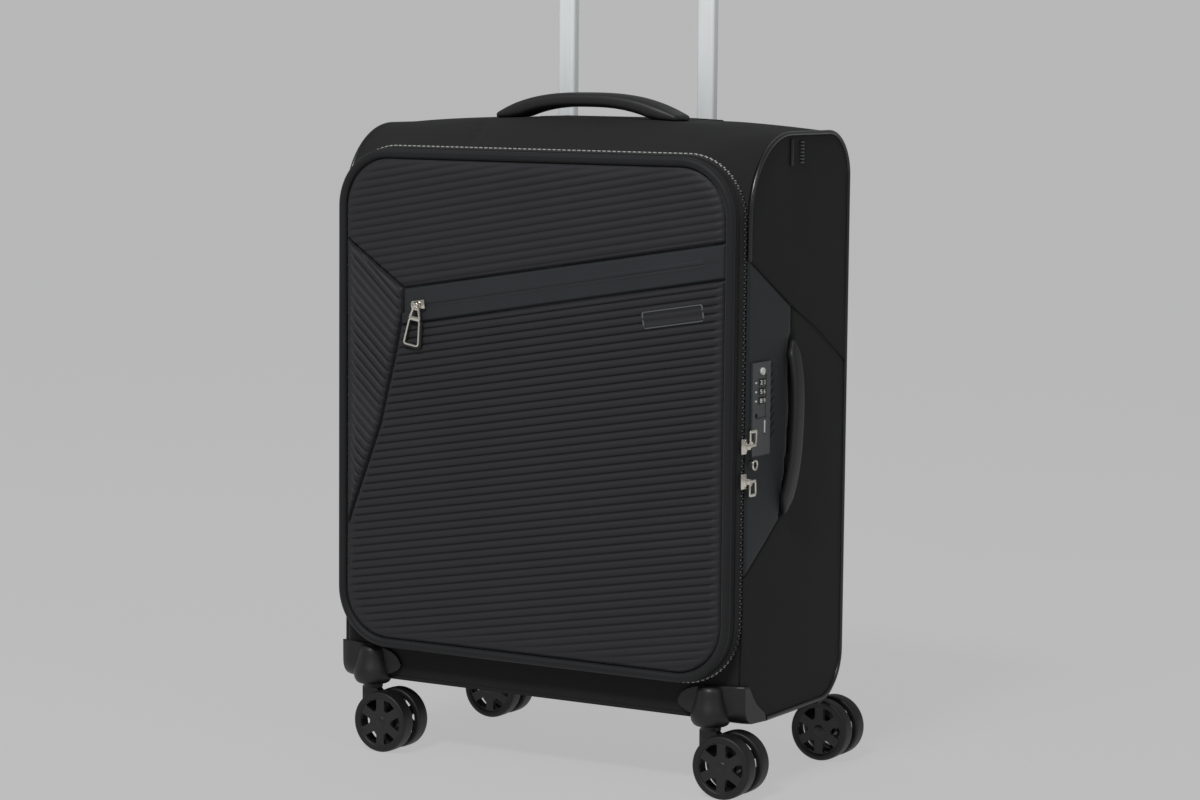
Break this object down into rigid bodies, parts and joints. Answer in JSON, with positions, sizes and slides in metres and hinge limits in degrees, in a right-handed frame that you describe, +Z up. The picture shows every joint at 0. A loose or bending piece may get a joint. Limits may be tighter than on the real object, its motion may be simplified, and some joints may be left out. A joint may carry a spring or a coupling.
{
  "type": "softside suitcase",
  "caption": "Upright softside cabin suitcase with a zipped ribbed lid, telescopic trolley handle, carry handles, combination lock and swivelling twin-wheel casters.",
  "frame": {"origin": "on the floor, under the middle of the body (without the casters' overhang)", "axes": "+X to the right seen from the lid, +Y to the back where the trolley is, +Z up"},
  "size_m": [0.4137, 0.2199, 1.0666],
  "materials": {
    "body_fabric": "plain-woven black polyester, matt",
    "rib_fabric": "black polyester with embossed ribs",
    "zip_tape": "black zip tape with coil",
    "piping": "extruded black vinyl piping",
    "steel_rod": "drawn steel rod",
    "board": "polypropylene board",
    "tube_aluminium": "satin anodised",
    "black_plastic": "moulded black polypropylene",
    "handle_rubber": "soft black elastomer",
    "screw_steel": "zinc-plated",
    "webbing": "woven polyester webbing",
    "lining": "grey polyester lining",
    "badge_plastic": "satin plate with a raised rim, blank",
    "nickel": "nickel-plated zinc casting",
    "dial_plastic": "moulded",
    "release_plastic": "white moulded",
    "wheel_plastic": "black polyurethane tread on a moulded rim"
  },
  "bodies": {
    "case": {"side_panel_left": "body_fabric", "side_panel_right": "body_fabric", "top_panel": "body_fabric", "bottom_panel": "body_fabric", "back_panel": "body_fabric", "front_border": "body_fabric", "case_zip_tape": "zip_tape", "side_piping": "piping", "frame_rods": "steel_rod", "back_board": "board", "trolley_guides": "tube_aluminium", "trolley_bezel": "black_plastic", "top_handle": "handle_rubber", "side_handle": "handle_rubber", "lock_body": "black_plastic", "side_tabs": "black_plastic", "wheel_housing_front_left": "black_plastic", "wheel_housing_front_right": "black_plastic", "wheel_housing_back_left": "black_plastic", "wheel_housing_back_right": "black_plastic", "housing_screws": "screw_steel", "packing_straps": "webbing", "strap_buckle": "black_plastic"},
    "lid": {"lid_panel": "rib_fabric", "lid_lining": "lining", "lid_piping": "piping", "lid_zip_tape": "zip_tape", "pocket_zip_tape": "zip_tape", "badge": "badge_plastic"},
    "pocket_zip_slider": {"pocket_slider": "nickel"},
    "pocket_zip_pull": {"pocket_pull": "nickel"},
    "upper_zip_slider": {"zip_slider_upper": "nickel"},
    "lower_zip_slider": {"zip_slider_lower": "nickel"},
    "upper_zip_pull": {"zip_pull_upper": "nickel"},
    "lower_zip_pull": {"zip_pull_lower": "nickel"},
    "dial_1": {"lock_dial_1": "dial_plastic"},
    "dial_2": {"lock_dial_2": "dial_plastic"},
    "dial_3": {"lock_dial_3": "dial_plastic"},
    "release": {"lock_release": "release_plastic"},
    "trolley_lower": {"lower_tubes": "tube_aluminium", "lower_collars": "black_plastic"},
    "trolley_upper": {"upper_tubes": "tube_aluminium", "grip": "black_plastic"},
    "trolley_button": {"grip_button": "dial_plastic"},
    "caster_front_left": {"caster_fork_front_left": "black_plastic", "caster_axle_front_left": "screw_steel"},
    "wheel_front_left_a": {"wheel_front_left_a": "wheel_plastic"},
    "wheel_front_left_b": {"wheel_front_left_b": "wheel_plastic"},
    "caster_front_right": {"caster_fork_front_right": "black_plastic", "caster_axle_front_right": "screw_steel"},
    "wheel_front_right_a": {"wheel_front_right_a": "wheel_plastic"},
    "wheel_front_right_b": {"wheel_front_right_b": "wheel_plastic"},
    "caster_back_left": {"caster_fork_back_left": "black_plastic", "caster_axle_back_left": "screw_steel"},
    "wheel_back_left_a": {"wheel_back_left_a": "wheel_plastic"},
    "wheel_back_left_b": {"wheel_back_left_b": "wheel_plastic"},
    "caster_back_right": {"caster_fork_back_right": "black_plastic", "caster_axle_back_right": "screw_steel"},
    "wheel_back_right_a": {"wheel_back_right_a": "wheel_plastic"},
    "wheel_back_right_b": {"wheel_back_right_b": "wheel_plastic"}
  },
  "joints": [
    {"name": "lid_hinge", "type": "hinge", "parent": "case", "child": "lid", "pos_m": [-0.1975, -0.0815, 0.3], "axis": [0, 0, -1], "range_deg": [0, 172]},
    {"name": "pocket_zip", "type": "slide", "parent": "lid", "child": "pocket_zip_slider", "axis": [0.9863, 0, 0.165], "range_m": [0, 0.27]},
    {"name": "pocket_pull_lift", "type": "hinge", "parent": "pocket_zip_slider", "child": "pocket_zip_pull", "pos_m": [-0.109, -0.1016, 0.3915], "axis": [-0.9863, 0, -0.165], "range_deg": [0, 110]},
    {"name": "upper_slider_run", "type": "slide", "parent": "case", "child": "upper_zip_slider", "axis": [0, 0, 1], "range_m": [0, 0.175]},
    {"name": "lower_slider_run", "type": "slide", "parent": "case", "child": "lower_zip_slider", "axis": [0, 0, 1], "range_m": [-0.11, 0]},
    {"name": "upper_pull_swing", "type": "hinge", "parent": "upper_zip_slider", "child": "upper_zip_pull", "pos_m": [0.2002, -0.081, 0.29], "axis": [0, 1, 0], "range_deg": [0, 140]},
    {"name": "lower_pull_swing", "type": "hinge", "parent": "lower_zip_slider", "child": "lower_zip_pull", "pos_m": [0.2002, -0.081, 0.2615], "axis": [0, -1, 0], "range_deg": [0, 140]},
    {"name": "dial_1_turn", "type": "hinge", "parent": "case", "child": "dial_1", "pos_m": [0.1954, -0.057, 0.3405], "axis": [0, 0, 1], "continuous": true},
    {"name": "dial_2_turn", "type": "hinge", "parent": "case", "child": "dial_2", "pos_m": [0.1954, -0.057, 0.333], "axis": [0, 0, 1], "continuous": true},
    {"name": "dial_3_turn", "type": "hinge", "parent": "case", "child": "dial_3", "pos_m": [0.1954, -0.057, 0.3255], "axis": [0, 0, 1], "continuous": true},
    {"name": "release_press", "type": "slide", "parent": "case", "child": "release", "axis": [1, 0, 0], "range_m": [-0.0015, 0], "stiffness_N_per_m": 400},
    {"name": "trolley_lower_slide", "type": "slide", "parent": "case", "child": "trolley_lower", "axis": [0, 0, 1], "range_m": [-0.27, 0]},
    {"name": "trolley_upper_slide", "type": "slide", "parent": "trolley_lower", "child": "trolley_upper", "axis": [0, 0, 1], "range_m": [-0.23, 0]},
    {"name": "trolley_button_press", "type": "slide", "parent": "trolley_upper", "child": "trolley_button", "axis": [0, 0, 1], "range_m": [-0.002, 0], "stiffness_N_per_m": 600},
    {"name": "swivel_front_left", "type": "hinge", "parent": "case", "child": "caster_front_left", "pos_m": [-0.168, -0.0795, 0.06], "axis": [0, 0, 1], "continuous": true},
    {"name": "roll_front_left_a", "type": "hinge", "parent": "caster_front_left", "child": "wheel_front_left_a", "pos_m": [-0.149, -0.0915, 0.0264], "axis": [0, 1, 0], "continuous": true},
    {"name": "roll_front_left_b", "type": "hinge", "parent": "caster_front_left", "child": "wheel_front_left_b", "pos_m": [-0.149, -0.0675, 0.0264], "axis": [0, 1, 0], "continuous": true},
    {"name": "swivel_front_right", "type": "hinge", "parent": "case", "child": "caster_front_right", "pos_m": [0.168, -0.0795, 0.06], "axis": [0, 0, 1], "continuous": true},
    {"name": "roll_front_right_a", "type": "hinge", "parent": "caster_front_right", "child": "wheel_front_right_a", "pos_m": [0.187, -0.0915, 0.0264], "axis": [0, 1, 0], "continuous": true},
    {"name": "roll_front_right_b", "type": "hinge", "parent": "caster_front_right", "child": "wheel_front_right_b", "pos_m": [0.187, -0.0675, 0.0264], "axis": [0, 1, 0], "continuous": true},
    {"name": "swivel_back_left", "type": "hinge", "parent": "case", "child": "caster_back_left", "pos_m": [-0.168, 0.098, 0.06], "axis": [0, 0, 1], "continuous": true},
    {"name": "roll_back_left_a", "type": "hinge", "parent": "caster_back_left", "child": "wheel_back_left_a", "pos_m": [-0.149, 0.086, 0.0264], "axis": [0, 1, 0], "continuous": true},
    {"name": "roll_back_left_b", "type": "hinge", "parent": "caster_back_left", "child": "wheel_back_left_b", "pos_m": [-0.149, 0.11, 0.0264], "axis": [0, 1, 0], "continuous": true},
    {"name": "swivel_back_right", "type": "hinge", "parent": "case", "child": "caster_back_right", "pos_m": [0.168, 0.098, 0.06], "axis": [0, 0, 1], "continuous": true},
    {"name": "roll_back_right_a", "type": "hinge", "parent": "caster_back_right", "child": "wheel_back_right_a", "pos_m": [0.187, 0.086, 0.0264], "axis": [0, 1, 0], "continuous": true},
    {"name": "roll_back_right_b", "type": "hinge", "parent": "caster_back_right", "child": "wheel_back_right_b", "pos_m": [0.187, 0.11, 0.0264], "axis": [0, 1, 0], "continuous": true}
  ]
}
